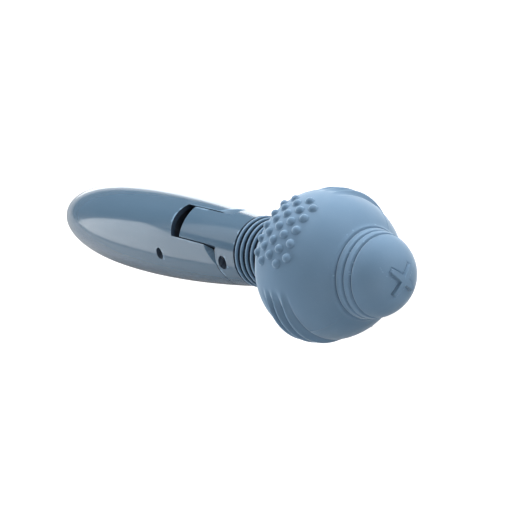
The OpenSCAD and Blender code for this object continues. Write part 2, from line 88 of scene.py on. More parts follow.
def grid_faces(rows, columns, turn=False):
    """Quads of a grid that closes on itself across its columns, as a tube does."""
    faces = []
    for i in range(rows - 1):
        for j in range(columns):
            k = (j + 1) % columns
            a, b = i * columns, (i + 1) * columns
            quad = (a + j, b + j, b + k, a + k)
            faces.append(quad[::-1] if turn else quad)
    return faces


def fan_faces(row, columns, tip, turn=False):
    """Triangles from the ring that starts at point row to one tip point."""
    faces = [(row + j, tip, row + (j + 1) % columns) for j in range(columns)]
    return [f[::-1] for f in faces] if turn else faces


def capped_faces(rows, columns, turn=False):
    """Faces of a tube with a fan at each end. The two tips are the points after the rings."""
    tip = rows * columns
    faces = grid_faces(rows, columns, turn) + fan_faces(0, columns, tip, not turn)
    return faces + fan_faces((rows - 1) * columns, columns, tip + 1, turn)


def evenly(points, step):
    """The same polyline with points every step or so."""
    points = np.asarray(points, float)
    length = np.r_[0, np.cumsum(np.linalg.norm(np.diff(points, axis=0), axis=1))]
    at = np.linspace(0, length[-1], max(2, int(round(length[-1] / step)) + 1))
    return np.column_stack([np.interp(at, length, points[:, k]) for k in range(points.shape[1])])


def full_turn(columns):
    return np.arange(columns) * 2 * math.pi / columns


def rings_at(x, r, turn):
    """A ring of points about the wand's axis for each x and radius, at the given angles."""
    x, r = x[:, None], r[:, None]
    return np.stack([np.repeat(x, len(turn), 1), r * np.sin(turn), r * np.cos(turn)], axis=-1)


def spin(outline, columns):
    """Rings of evenly spaced points from the [x, radius] points of an outline."""
    x, r = np.asarray(outline, float).T
    return rings_at(x, r, full_turn(columns))


def smooth_max(a, b, k):
    """The larger of two values, blended where they are less than k apart."""
    return np.maximum(a, b) + np.maximum(k - np.abs(a - b), 0) ** 2 / (4 * k)


def smooth_step(t):
    """An S-curve that runs from 0 to 1 as t does, and stays flat outside."""
    t = np.clip(t, 0, 1)
    return t * t * (3 - 2 * t)


# ---- head cover ----

BALL_X, BALL_R = 42.7, 30.4
SHOULDER, SHOULDER_R, CONE = 17, 16, 44
BALL_END = 52  # degrees past the ball's widest ring, where the nose takes over
NOSE_X, NOSE_R, NOSE_LEN = 68, 17.5, 18.6
REAR_OPENING, REAR_LIP = 12.2, 0.8
COVER_WALL, LINING_STEP = 3.3, 4
# the cone behind the ball starts a little further forward than the CAD's
REAR_SHIFT, SHIFT_START, SHIFT_RUN = 1.9, 7, 14

NODULE_R, NODULE_SUNK, NODULE_STEP = 1.75, 0.25, 11.25
NODULE_ROWS = [(17.4 - 8.5 * i, 5 + i % 2) for i in range(5)]
NODULE_REACH, NODULE_SIDE, NODULE_SKIRT, NODULE_FILLET = 1.5, 6, 4, 0.35

RIDGE_X, RIDGE_HALF, RIDGE_WIDTH, RIDGE_H = (6.4, 1.6, -2.4), 42, 0.75, 1.8
VALLEY, VALLEY_OFF, VALLEY_WIDTH = 0.8, 2.2, 0.7
MOULD_LINE_X, MOULD_LINE_H, MOULD_LINE_HALF, MOULD_LINE_FADE = (51.5, 66.5), 0.2, 0.32, 2
GROOVE_X, GROOVE_HALF, GROOVE_DEPTH = (68.1, 71.4, 74.7), 0.8, 0.75

STAR_ARM, STAR_NOTCH, STAR_TIP_HALF, STAR_H, STAR_CORNER = 6.5, 1.8, 0.75, 1.1, 0.4
STAR_WALL_OUT, STAR_WALL = 0.25, 0.35
STAR_MOAT, MOAT_OFF, MOAT_WIDTH = 0.28, 0.5, 0.28
STAR_START = 8  # how far in front of NOSE_X the star may start

# columns round the head: fine over the nodules, coarse elsewhere, with extra ones at the mould line
FINE_SECTOR, FINE_COLUMNS, COARSE_COLUMNS = 36, 109, 70
LINE_COLUMNS = (89.1, 89.5, 90.5, 90.9)
# rows along the head: the x where each spacing starts, in order
OUTLINE_STEP, OUTLINE_SOFTEN = 0.15, 5
ROW_SPACING = (
    (-math.inf, 0.9), (BALL_X - 12, 0.4), (BALL_X + 15, 0.9), (NOSE_X - 2, 0.2), (NOSE_X + 9, 0.42),
    (NOSE_X + 15, 0.18)
)


def arc(centre_x, centre_r, radius, start, end, step=2):
    """[x, radius] points of an arc, from start to end degrees past its highest point."""
    a = np.radians(np.linspace(start, end, max(3, int(abs(end - start) / step) + 1)))
    return np.column_stack([centre_x + radius * np.sin(a), centre_r + radius * np.cos(a)])


def head_outline(inset, rear_r):
    """[x, radius] points from the rear opening over the shoulder and the ball to the nose."""
    inner = BALL_R - SHOULDER_R
    s = math.radians(SHOULDER)
    shoulder = arc(BALL_X - inner * math.sin(s), inner * math.cos(s), SHOULDER_R - inset, -CONE, -SHOULDER)
    slope = math.tan(math.radians(90 - CONE))
    start = [shoulder[0, 0] - (shoulder[0, 1] - rear_r) * slope, rear_r]
    ball = arc(BALL_X, 0, BALL_R - inset, -SHOULDER, BALL_END)
    nose = arc(NOSE_X, 0, 1, 4, 90)
    nose = np.column_stack([
        NOSE_X + (NOSE_LEN - inset) * (nose[:, 0] - NOSE_X),
        (NOSE_R - inset) * nose[:, 1]
    ])
    return np.vstack([[start], shoulder, ball[1:], nose])


def soften(points, width, rounds=3):
    """Rounds the corners of an evenly spaced polyline over about that many points."""
    out = points.copy()
    for _ in range(rounds):
        out[width:-width] = np.mean([out[k:len(out) - 2 * width + k] for k in range(2 * width + 1)], axis=0)
    return out


def nodule_directions():
    """Unit vectors from the ball's centre to the nodules of the upper and the lower patch."""
    found = []
    for latitude, count in NODULE_ROWS:
        for side in (0, 180):
            for j in range(count):
                la = math.radians(latitude)
                lo = math.radians(side + (j - (count - 1) / 2) * NODULE_STEP)
                found.append((math.sin(la), math.cos(la) * math.sin(lo), math.cos(la) * math.cos(lo)))
    return np.array(found)


def add_nodules(p):
    """Raises a filleted dome over each nodule's place."""
    centre = np.array([BALL_X, 0, 0])
    for axis in nodule_directions():
        middle = centre + (BALL_R - NODULE_SUNK) * axis
        off = middle - p
        up = off @ axis
        d = np.sqrt(np.maximum((off ** 2).sum(-1) - up ** 2, 0))
        near = (d < NODULE_R + NODULE_REACH) & (np.abs(up) < NODULE_SIDE)
        dome = np.sqrt(np.maximum(NODULE_R ** 2 - d ** 2, 0)) - NODULE_SKIRT * np.maximum(d - NODULE_R, 0)
        lift = smooth_max(0, up + dome, NODULE_FILLET)
        p[near] += lift[near][:, None] * axis
    return p


def add_ridges(p):
    """Raises three crescents on each side, with shallow valleys beside them and faded ends."""
    r = np.hypot(p[..., 1], p[..., 2])
    from_side = np.degrees(np.arctan2(p[..., 2], np.abs(p[..., 1])))
    fade = np.clip(1 - (from_side / RIDGE_HALF) ** 2, 0, 1)
    lift = np.zeros_like(r)
    for dx in RIDGE_X:
        off = np.abs(p[..., 0] - BALL_X - dx)
        lift += RIDGE_H * np.exp(-(off / RIDGE_WIDTH) ** 2)
        lift -= VALLEY * np.exp(-((off - VALLEY_OFF) / VALLEY_WIDTH) ** 2)
    scale = 1 + fade * lift / np.maximum(r, 1)
    p[..., 1] *= scale
    p[..., 2] *= scale
    return p


def add_mould_line(p):
    """Raises the thin line that the mould left along each side of the ball's front."""
    start, end = MOULD_LINE_X
    along = smooth_step((p[..., 0] - start) / MOULD_LINE_FADE)
    along *= smooth_step((end - p[..., 0]) / MOULD_LINE_FADE)
    lift = MOULD_LINE_H * along * np.exp(-(p[..., 2] / MOULD_LINE_HALF) ** 2)
    p[..., 1] += lift * np.sign(p[..., 1])
    return p


def star_distance(y, z):
    """Distance inside the four-armed star with blunt arms, negative outside it."""
    a = np.arctan2(y, z)
    a = np.abs((a + math.pi / 4) % (math.pi / 2) - math.pi / 4)
    r = np.hypot(y, z)
    u, v = r * np.cos(a), r * np.sin(a)
    notch = STAR_NOTCH / math.sqrt(2)
    run = np.array([STAR_ARM - notch, STAR_TIP_HALF - notch])
    run /= np.linalg.norm(run)
    beside = (u - notch) * run[1] - (v - notch) * run[0]
    return -smooth_max(-beside, u - STAR_ARM, STAR_CORNER)


def add_star(p, normal):
    """Raises the star on the nose's tip along the surface's normals, with a shallow moat round it."""
    within = star_distance(p[..., 1], p[..., 2])
    lift = STAR_H * smooth_step((within + STAR_WALL_OUT) / STAR_WALL)
    lift -= STAR_MOAT * np.exp(-((within + MOAT_OFF) / MOAT_WIDTH) ** 2)
    lift[p[..., 0] < NOSE_X + STAR_START] = 0
    return p + lift[..., None] * normal


def head_turn():
    """The angles of the head's columns, all the way round, measured from the tongue side."""
    sector = math.radians(FINE_SECTOR)
    half = np.sort(np.concatenate([
        np.linspace(-sector, sector, FINE_COLUMNS, endpoint=False),
        np.linspace(sector, math.pi - sector, COARSE_COLUMNS, endpoint=False), np.radians(LINE_COLUMNS)
    ]))
    return np.concatenate([half, half + math.pi])


def head_rows():
    """x, radius and the two parts of the normal for each row of the head's outer surface."""
    outline = soften(evenly(head_outline(0, REAR_OPENING + REAR_LIP), OUTLINE_STEP), OUTLINE_SOFTEN)
    outline[:, 0] += REAR_SHIFT * smooth_step((BALL_X - SHIFT_START - outline[:, 0]) / SHIFT_RUN)
    slope = np.gradient(outline, axis=0)
    normal = np.column_stack([-slope[:, 1], slope[:, 0]])
    normal /= np.linalg.norm(normal, axis=1)[:, None]
    per_mm = np.zeros(len(outline))
    for start, spacing in ROW_SPACING:
        per_mm[outline[:, 0] > start] = 1 / spacing
    total = np.cumsum(per_mm) * OUTLINE_STEP
    points = np.arange(len(outline))
    rows = np.interp(np.linspace(0, total[-1], int(total[-1])), total, points)
    x, r, nx, nr = (np.interp(rows, points, v) for v in (*outline.T, *normal.T))
    for groove in GROOVE_X:
        off = np.abs(x - groove) / GROOVE_HALF
        cut = np.where(off < 1, GROOVE_DEPTH * (0.5 + 0.5 * np.cos(math.pi * np.minimum(off, 1))), 0)
        x, r = x - nx * cut, r - nr * cut
    return x, r, nx, nr


def make_head_cover():
    """The head's soft skin, open at the rear, with its nodules, ridges, grooves and star."""
    turn = head_turn()
    x, r, nx, nr = head_rows()
    outer = add_mould_line(add_ridges(add_nodules(rings_at(x, r, turn)[:-1])))
    outer = add_star(outer, rings_at(nx, nr, turn)[:-1])
    lining = rings_at(*evenly(head_outline(COVER_WALL, REAR_OPENING), LINING_STEP)[:-1].T, turn)
    rings = np.vstack([lining[::-1], outer])
    tips = [[NOSE_X + NOSE_LEN - COVER_WALL, 0, 0], [NOSE_X + NOSE_LEN + STAR_H, 0, 0]]
    points = np.vstack([rings.reshape(-1, 3), tips])
    cover = add_mesh("head_skin", points, capped_faces(len(rings), len(turn)))
    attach(cover, "head")
    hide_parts("head_cover")
    return cover


# ---- bellows ----

RIBS, RIB_PITCH, RIB_R, RIB_TAPER, RIB_DEPTH = 5, 2.92, 15.5, 0.46, 2.4
RIB_HALF, RIB_ROUND, RIB_FOOT, RIB_DRAFT = 0.74, 0.5, 0.25, 0.05
RIB_CORNER_POINTS, RIB_WALL_POINTS = 7, 5
# how far below a rib's top the painted shade in the grooves starts, and how far from the bellows' ends it stays
# away
GROOVE_SHADE_DEPTH, GROOVE_END = 0.7, 0.3
REAR_COLLAR, FRONT_COLLAR = [[-0.4, 12.9], [0.25, 12.9]], [[14.4, 11.75], [16.6, 11.7]]
BELLOWS_BORE, BELLOWS_SPLIT, BORE_ROWS = 10.8, 3 * 2.92, 8
BELLOWS_COLUMNS = 192
# an x range for each half of the bellows
REAR_BEND, FRONT_BEND = (0.5, 8), (9, 14.3)


def rib_outline(k):
    """One rib's rounded side view, from groove to groove."""
    middle = RIB_PITCH * (k + 0.5)
    top, floor = RIB_R - RIB_TAPER * k, RIB_R - RIB_TAPER * k - RIB_DEPTH
    corner = np.radians(np.linspace(0, 90, RIB_CORNER_POINTS))
    rear = np.column_stack([
        middle - RIB_HALF + RIB_ROUND - RIB_ROUND * np.cos(corner),
        top - RIB_ROUND + RIB_ROUND * np.sin(corner)
    ])
    front = rear[::-1] * [-1, 1] + [2 * middle, 0]
    walls = np.linspace(floor + RIB_FOOT, top - RIB_ROUND, RIB_WALL_POINTS, endpoint=False)
    rear_wall = np.column_stack([np.full(RIB_WALL_POINTS, middle - RIB_HALF + RIB_DRAFT), walls])
    front_wall = rear_wall[::-1] * [-1, 1] + [2 * middle, 0]
    return np.vstack([rear_wall, rear, front, front_wall])


def paint_groove_shade(half):
    """Paints shade into the bottoms of the bellows' grooves: their faces get a dark material."""
    half.data.materials.clear()
    half.data.materials.append(LOOKS["soft_skin"])
    half.data.materials.append(LOOKS["groove"])
    for face in half.data.polygons:
        x, y, z = to_wand(face.center)
        rib_top = RIB_R - RIB_TAPER * (x / RIB_PITCH - 0.5)
        between_ends = GROOVE_END < x < RIBS * RIB_PITCH - GROOVE_END
        if rib_top - np.hypot(y, z) > GROOVE_SHADE_DEPTH and between_ends:
            face.material_index = 1


def make_bellows():
    """The bellows in two halves, a rear and a front one."""
    columns = BELLOWS_COLUMNS
    ribs = np.vstack([rib_outline(k) for k in range(RIBS)])
    outer = np.vstack([REAR_COLLAR, ribs, FRONT_COLLAR])
    split = np.array([BELLOWS_SPLIT, np.interp(BELLOWS_SPLIT, outer[:, 0], outer[:, 1])])
    rear_line = np.vstack([outer[outer[:, 0] < BELLOWS_SPLIT], split])
    front_line = np.vstack([split, outer[outer[:, 0] > BELLOWS_SPLIT]])
    made = []
    for name, line, a, b, (start, end) in (
        ("bellows_rear", rear_line, "neck", "flex_core", REAR_BEND),
        ("bellows_front", front_line, "flex_core", "head", FRONT_BEND),
    ):
        bore = [[x, BELLOWS_BORE] for x in np.linspace(line[-1, 0], line[0, 0], BORE_ROWS)]
        loop = np.vstack([line, bore])
        faces = grid_faces(len(loop), columns)
        last = (len(loop) - 1) * columns
        faces += [(last + j, j, (j + 1) % columns, last + (j + 1) % columns) for j in range(columns)]
        half = add_mesh(name, spin(loop, columns).reshape(-1, 3), faces)
        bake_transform(half)
        made.append(half)
    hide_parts("neck_bellows")
    return made


# ---- coupling spring ----

SPRING_R, WIRE_R, SPRING_TURNS, SPRING_START, SPRING_END = 5.8, 0.7, 6, 0.4, 17.3
SPRING_STEPS, WIRE_SIDES, SPRING_SHARP = 36, 10, 50


def make_spring():
    """The spring inside the bellows, in two halves between the neck and the head."""
    for name, first, last, a, b in (
        ("spring_rear", 0, 0.5, "neck", "flex_core"), ("spring_front", 0.5, 1, "flex_core", "head")
    ):
        rows = int(SPRING_TURNS * SPRING_STEPS * (last - first)) + 1
        share = np.linspace(first, last, rows)[:, None]
        turn = 2 * math.pi * SPRING_TURNS * share
        side = 2 * math.pi * np.arange(WIRE_SIDES)[None, :] / WIRE_SIDES
        middle = SPRING_START + (SPRING_END - SPRING_START) * share
        r = SPRING_R + WIRE_R * np.cos(side)
        points = np.stack([middle + WIRE_R * np.sin(side), r * np.cos(turn), r * np.sin(turn)], axis=-1)
        faces = grid_faces(rows, WIRE_SIDES)
        end_ring = (rows - 1) * WIRE_SIDES
        faces.append(tuple(range(WIRE_SIDES)))
        faces.append(tuple(end_ring + j for j in reversed(range(WIRE_SIDES))))
        half = add_mesh(name, points.reshape(-1, 3), faces)
        half.data.set_sharp_from_angle(angle=math.radians(SPRING_SHARP))
        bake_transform(half)
        half.data.materials.append(LOOKS["zinc_steel"])
        if a == "neck":
            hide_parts("coupling_spring")


# ---- handle and neck: turned solids, cut and joined, with their edges rounded ----

BELLY_X, BELLY_R, TAIL_LEN, TAIL_POWER = -82, 20.9, 81.7, 2.3
NECK_R, FRONT_POWER = 15.2, 1.87
SHELL_WALL, NECK_WALL, NECK_FRONT = 2.2, 2.0, -0.5
HANDLE_STEP, NECK_STEP, INSIDE_STEP = 0.7, 0.6, 2
SKIN_COLUMNS, INSIDE_COLUMNS, BAR_SIDES = 240, 72, 64
FAR = 40  # further than any outside face, for the ends of a cut
SEAM_GAP, SEAM = 0.5, ((-12, FAR), (-12, 13.5), (-11.7, 8.5), (-10.4, 3.5), (-10.4, -FAR))
TONGUE_LEN, TONGUE_HALF, TONGUE_LOW, TONGUE_HIGH = 36.6, 7.85, 8, 30
SLOT_HALF, SLOT_REAR_X, SLOT_REAR_R = 8.35, -44.2, 18
FLOOR_START, FLOOR_SLOPE, FLOOR_REAR = (-12.5, 9.2), 0.552, -70
NOTCH_BACK, NOTCH_TIP, NOTCH_GAP, NOTCH_AHEAD = (-19.9, 15.6), (-11.4, 8.4), 0.1, 3
PIVOT, PIVOT_BOSS_R, PIVOT_BOSS_INSIDE = (-8, 9.8), 3.8, 5.6
PIVOT_RECESS_R, PIVOT_RECESS_FLOOR, PIVOT_BORE_R, PIVOT_BORE_HALF = 2.5, 9.4, 1.52, 9.5
CASE_SCREWS = ((-52, 12), (-38, -12), (-143, -8))
SCREW_BOSS_R, SCREW_BOSS_HALF, SCREW_RECESS_R, SCREW_RECESS_FLOOR = 3.3, 18, 2.3, 6
SCREW_BORE_R, SCREW_BORE = 1.25, (-7, 8.5)
CHEEK_X, CHEEK_START, CHEEK_OFF = (-24, -10.4), 3.2, 1.4
BUTTON_X, BUTTON_R, BUTTON_FIT, BUTTON_PROUD = -56, 6.5, 0.08, 0.4
BUTTON_CUT, BUTTON_SIDES = (-30, -8), 96
SOCKET_FACE, SOCKET_SEAT, FLANGE_R, FLANGE_FIT, SOCKET_R = -162.9, -162.1, 4.4, 0.1, 1.3
SOCKET_BODY_R, SOCKET_FIT, SOCKET_CUT = 3.0, 0.05, (-170, -140)
SOCKET_BOSS_R, SOCKET_BOSS = 5.4, (-166, -159)

# tolerances of the mesh work, in millimetres, and the angle that counts as a sharp edge
ON_SKIN, SKIN_INSET, INSIDE_SHADE_DEPTH = 0.02, 0.2, 0.42
SAME_POINT, NO_LENGTH, NO_SLIVER, RIM_MERGE, SLIVER_EDGE = 0.004, 0.002, 0.001, 0.16, 0.1
SHARP_RIM, SHARP_SHADING = 26, 40
FACES_OUT = 0.9  # how nearly a face's normal must match the skin's to be taken for the skin
SLIVER_REACH = (0.03, 0.045, 0.06, 0.06, 0.08, 0.3, 0.3)
HANDLE_ROUND, NECK_ROUND, ROUND_SEGMENTS, ROUND_ROOM = 0.35, 0.4, 3, 1.5
HOLE_SIDES, SLOPE_STEP, NOTCH_BAND = 6, 0.05, 0.6


def skin_radius(x):
    """Radius of the handle's outer skin, which runs on over the neck."""
    x = np.asarray(x, float)
    behind = 1 - np.minimum(np.abs(x - BELLY_X) / TAIL_LEN, 1) ** TAIL_POWER
    front = (np.maximum(x - BELLY_X, 0) / -BELLY_X) ** FRONT_POWER
    return np.where(x < BELLY_X, BELLY_R * behind ** (1 / TAIL_POWER), BELLY_R - (BELLY_R - NECK_R) * front)


def skin_outline(inset, end_x, step):
    """[x, radius] points from the tail's tip forward to end_x."""
    a = np.radians(np.linspace(90, 0, 400, endpoint=False))
    power = 2 / TAIL_POWER
    tail = np.column_stack([
        BELLY_X - (TAIL_LEN - inset) * np.sin(a) ** power,
        (BELLY_R - inset) * np.maximum(np.cos(a), 0) ** power
    ])
    x = np.linspace(BELLY_X, end_x, 300)
    front = np.column_stack([x, skin_radius(x) - inset])
    return evenly(np.vstack([tail, front]), step)


def off_skin(p):
    """How far a point of the wand's frame lies from the outer skin."""
    return abs(math.hypot(p[1], p[2]) - float(skin_radius(p[0])))


def solid(name, points, faces):
    """A closed mesh object in the wand's millimetres, used while cutting and joining."""
    mesh = bpy.data.meshes.new(name)
    mesh.from_pydata(np.asarray(points, float).tolist(), [], faces)
    mesh.update()
    piece = bpy.data.objects.new(name, mesh)
    bpy.context.scene.collection.objects.link(piece)
    return piece


def turned(outline, columns):
    """A solid from an [x, radius] line whose first point lies on the axis, closed flat in front."""
    rings = spin(outline[1:], columns).reshape(-1, 3)
    tips = [[outline[0][0], 0, 0], [outline[-1][0], 0, 0]]
    return solid("turned", np.vstack([rings, tips]), capped_faces(len(outline) - 1, columns))


def inside(inset, end_x=0.5):
    """What lies at least that far below the outer skin, as a solid to cut with."""
    return turned(skin_outline(inset, end_x, INSIDE_STEP), INSIDE_COLUMNS)


def prism(corners, axis, low, high):
    """A side view (axis 1) or a plan view (axis 2), made as thick as from low to high."""
    rings = []
    for level in (low, high):
        rings += [[p[0], level, p[1]] if axis == 1 else [p[0], p[1], level] for p in corners]
    n = len(corners)
    faces = [list(range(n)), list(range(2 * n - 1, n - 1, -1))]
    faces += [(k, n + k, n + (k + 1) % n, (k + 1) % n) for k in range(n)]
    shape = solid("prism", rings, faces)
    edit = bmesh.new()
    edit.from_mesh(shape.data)
    bmesh.ops.recalc_face_normals(edit, faces=edit.faces)
    edit.to_mesh(shape.data)
    edit.free()
    return shape


def round_bar(centre, radius, axis, low, high, sides=BAR_SIDES):
    """A bar with a round section about a point, along X (0), Y (1) or Z (2)."""
    turn = full_turn(sides)
    u, v = centre[0] + radius * np.cos(turn), centre[1] + radius * np.sin(turn)
    if axis:
        return prism(np.column_stack([u, v]), axis, low, high)
    ends = [np.column_stack([np.full(sides, level), u, v]) for level in (low, high)]
    faces = [list(range(sides))[::-1], list(range(sides, 2 * sides))]
    faces += [(k, (k + 1) % sides, sides + (k + 1) % sides, sides + k) for k in range(sides)]
    return solid("bar", np.vstack(ends), faces)


def combine(target, tools, operation):
    """Boolean operations, applied at once. The tools are used up."""
    for tool in tools:
        step = target.modifiers.new("step", "BOOLEAN")
        step.solver = "MANIFOLD"
        step.operation = operation
        step.object = tool
        made = target.evaluated_get(bpy.context.evaluated_depsgraph_get())
        shape = bpy.data.meshes.new_from_object(made)
        target.modifiers.clear()
        old = target.data
        target.data = shape
        bpy.data.meshes.remove(old)
        bpy.data.objects.remove(tool)
    return target


def front_of_seam(gap):
    """Everything in front of the seam between handle and neck, starting a gap behind it."""
    side = [(x - gap, z) for x, z in SEAM]
    return prism(side + [(FAR, -FAR), (FAR, FAR)], 1, -FAR, FAR)


def slot_solid():
    """The slot's room: its plan, with a curved rear edge, above its sloping floor."""
    reach = math.degrees(math.asin(SLOT_HALF / SLOT_REAR_R))
    a = np.radians(np.linspace(-reach, reach, 33))
    middle = SLOT_REAR_X + SLOT_REAR_R
    rear = np.column_stack([middle - SLOT_REAR_R * np.cos(a), SLOT_REAR_R * np.sin(a)])
    plan = prism(np.vstack([rear, [[FAR, SLOT_HALF], [FAR, -SLOT_HALF]]]), 2, -5, FAR)
    x, z = FLOOR_START
    low = z - FLOOR_SLOPE * (x - FLOOR_REAR)
    top = FAR + 1
    above = prism([(FLOOR_REAR, low), (FLOOR_REAR, top), (top, top), (top, z), (x, z)], 1, -FAR, FAR)
    return combine(plan, [above], "INTERSECT")


def notch_solids():
    """The slanted notches beside the tongue, one on each side."""
    far_x, far_z = np.subtract(NOTCH_BACK, np.subtract(NOTCH_TIP, NOTCH_BACK))
    front_x = SEAM[-1][0] + NOTCH_AHEAD
    corners = [(far_x, far_z), NOTCH_TIP, (front_x, NOTCH_TIP[1]), (front_x, FAR), (far_x, FAR)]
    beside = TONGUE_HALF + NOTCH_GAP
    return [prism(corners, 1, *span) for span in ((beside, FAR), (-FAR, -beside))]


def vertices_of(edges):
    """The vertices of some edges, each once and always in the same order."""
    return list(dict.fromkeys(v for e in edges for v in e.verts))


def faulty_edges(edit):
    """Edges that don't join exactly two faces, or that run between the same vertices as another."""
    between = {}
    for edge in edit.edges:
        between.setdefault(frozenset(edge.verts), []).append(edge)
    return [e for same in between.values() for e in same if len(same) > 1 or len(e.link_faces) != 2]


def close_slivers(edit):
    """Closes the mesh where rounding left slivers: merges their corners and drops loose faces."""
    for reach in SLIVER_REACH:
        narrow = [
            f for f in edit.faces
            if len(f.verts) > 4 or len(f.verts) == 4 and min(e.calc_length() for e in f.edges) < SLIVER_EDGE
        ]
        bmesh.ops.triangulate(edit, faces=narrow)
        bad = faulty_edges(edit)
        if not bad:
            return
        bmesh.ops.remove_doubles(edit, verts=vertices_of(bad), dist=reach)
        bmesh.ops.dissolve_degenerate(edit, edges=edit.edges, dist=NO_SLIVER)
        twins = {}
        for face in edit.faces:
            twins.setdefault(frozenset(face.verts), []).append(face)
        loose = [f for same in twins.values() if len(same) > 1 for f in same]
        loose += [
            f for f in edit.faces
            if any(len(e.link_faces) == 1 for e in f.edges) and any(len(e.link_faces) > 2 for e in f.edges)
        ]
        bmesh.ops.delete(edit, geom=list(dict.fromkeys(loose)), context="FACES")
        open_edges = [e for e in edit.edges if e.is_boundary]
        bmesh.ops.holes_fill(edit, edges=open_edges, sides=HOLE_SIDES)
    bmesh.ops.delete(edit, geom=[e for e in edit.edges if not e.link_faces], context="EDGES")


def sharp_edges(edit):
    """The edges on the outer skin where two faces meet at a sharp angle."""
    return [
        e for e in edit.edges
        if len(e.link_faces) == 2 and e.calc_face_angle(0) > math.radians(SHARP_RIM)
        and all(off_skin(v.co) < ON_SKIN for v in e.verts)
    ]


def round_edges(piece, width):
    """Rounds the sharp edges on the outer skin.

    The skin's own vertices beside an edge move onto it first, so that the rounding has room.
    """
    edit = bmesh.new()
    edit.from_mesh(piece.data)
    bmesh.ops.remove_doubles(edit, verts=edit.verts, dist=SAME_POINT)
    bmesh.ops.dissolve_degenerate(edit, edges=edit.edges, dist=NO_LENGTH)
    bmesh.ops.remove_doubles(edit, verts=vertices_of(sharp_edges(edit)), dist=RIM_MERGE)
    rim = vertices_of(sharp_edges(edit))
    tree = KDTree(len(rim))
    for k, v in enumerate(rim):
        tree.insert(v.co, k)
    tree.balance()
    held = set(rim)
    near = {}
    for v in edit.verts:
        if v in held or off_skin(v.co) > ON_SKIN:
            continue
        _, k, distance = tree.find(v.co)
        if distance < width * ROUND_ROOM:
            near[v] = rim[k]
    bmesh.ops.weld_verts(edit, targetmap=near)
    bmesh.ops.dissolve_degenerate(edit, edges=edit.edges, dist=NO_LENGTH)
    bmesh.ops.bevel(
        edit, geom=sharp_edges(edit), offset=width, offset_type="OFFSET", segments=ROUND_SEGMENTS,
        profile=0.5, affect="EDGES", clamp_overlap=True
    )
    bmesh.ops.remove_doubles(edit, verts=edit.verts, dist=NO_LENGTH)
    close_slivers(edit)
    edit.to_mesh(piece.data)
    edit.free()


def finish_skin(piece, name):
    """Moves a cut solid into the row frame and gives its outer skin the true surface's normals."""
    mesh = piece.data
    piece.name = mesh.name = name
    local = np.array([v.co for v in mesh.vertices])
    x, y, z = local.T
    on_skin = np.abs(np.hypot(y, z) - skin_radius(x)) < ON_SKIN
    slope = (skin_radius(x + SLOPE_STEP) - skin_radius(x - SLOPE_STEP)) / (2 * SLOPE_STEP)
    r = np.maximum(np.hypot(y, z), 1e-6)
    true = np.column_stack([-slope, y / r, z / r])
    true /= np.linalg.norm(true, axis=1)[:, None]
    true = true @ WAND
    mesh.vertices.foreach_set("co", to_row(local).ravel())
    mesh.update()
    mesh.shade_smooth()
    mesh.set_sharp_from_angle(angle=math.radians(SHARP_SHADING))
    normals = np.zeros((len(mesh.loops), 3))
    for face in mesh.polygons:
        around = [mesh.loops[k].vertex_index for k in face.loop_indices]
        if all(on_skin[around]) and np.array(face.normal) @ true[around[0]] > FACES_OUT:
            for k, v in zip(face.loop_indices, around):
                normals[k] = true[v]
    mesh.normals_split_custom_set(normals.tolist())


def paint_inside_shade(piece):
    """Paints shade onto the faces below the lacquered skin: they get a dark material, as the slot, the holes and
    the inside lie in shade.

    The slanted notches beside the tongue stay lacquered.
    """
    piece.data.materials.clear()
    piece.data.materials.append(LOOKS["gloss_case"])
    piece.data.materials.append(LOOKS["inside_painted_shade"])
    slope = np.subtract(NOTCH_TIP, NOTCH_BACK)
    for face in piece.data.polygons:
        x, y, z = to_wand(face.center)
        beside_notch = (x - NOTCH_TIP[0]) * slope[1] - (z - NOTCH_TIP[1]) * slope[0]
        in_notch = abs(beside_notch) < NOTCH_BAND and abs(y) > TONGUE_HALF
        # faces this deep below the skin get the painted shade
        if off_skin((x, y, z)) > INSIDE_SHADE_DEPTH and not in_notch:
            face.material_index = 1


def make_handle():
    """The handle's skin: a thin shell with its bosses, cut by the seam, slot, notches and recesses."""
    handle = turned(skin_outline(0, 0, HANDLE_STEP), SKIN_COLUMNS)
    combine(handle, [inside(SHELL_WALL)], "DIFFERENCE")
    inner = [round_bar(at, SCREW_BOSS_R, 1, -SCREW_BOSS_HALF, SCREW_BOSS_HALF) for at in CASE_SCREWS]
    beside = SLOT_HALF + CHEEK_OFF
    back, front = CHEEK_X
    for low, high in ((CHEEK_START, 20), (-20, -CHEEK_START)):
        for span in ((beside, 20), (-20, -beside)):
            inner.append(prism([(back, low), (back, high), (front, high), (front, low)], 1, *span))
    inner.append(round_bar((0, 0), SOCKET_BOSS_R, 0, *SOCKET_BOSS))
    inner = [combine(part, [inside(SKIN_INSET)], "INTERSECT") for part in inner]
    combine(handle, inner, "UNION")
    cuts = [front_of_seam(SEAM_GAP), slot_solid(), *notch_solids()]
    cuts.append(round_bar((BUTTON_X, 0), BUTTON_R + BUTTON_FIT, 2, *BUTTON_CUT, BUTTON_SIDES))
    cuts.append(round_bar((0, 0), SOCKET_BODY_R + SOCKET_FIT, 0, *SOCKET_CUT))
    cuts.append(round_bar((0, 0), FLANGE_R + FLANGE_FIT, 0, SOCKET_CUT[0], SOCKET_SEAT))
    for at in CASE_SCREWS:
        cuts.append(round_bar(at, SCREW_RECESS_R, 1, -30, -SCREW_RECESS_FLOOR))
        cuts.append(round_bar(at, SCREW_BORE_R, 1, *SCREW_BORE))
    combine(handle, cuts, "DIFFERENCE")
    round_edges(handle, HANDLE_ROUND)
    finish_skin(handle, "handle_skin")
    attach(handle, "handle")
    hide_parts("handle_shell_left", "handle_shell_right")
    return handle


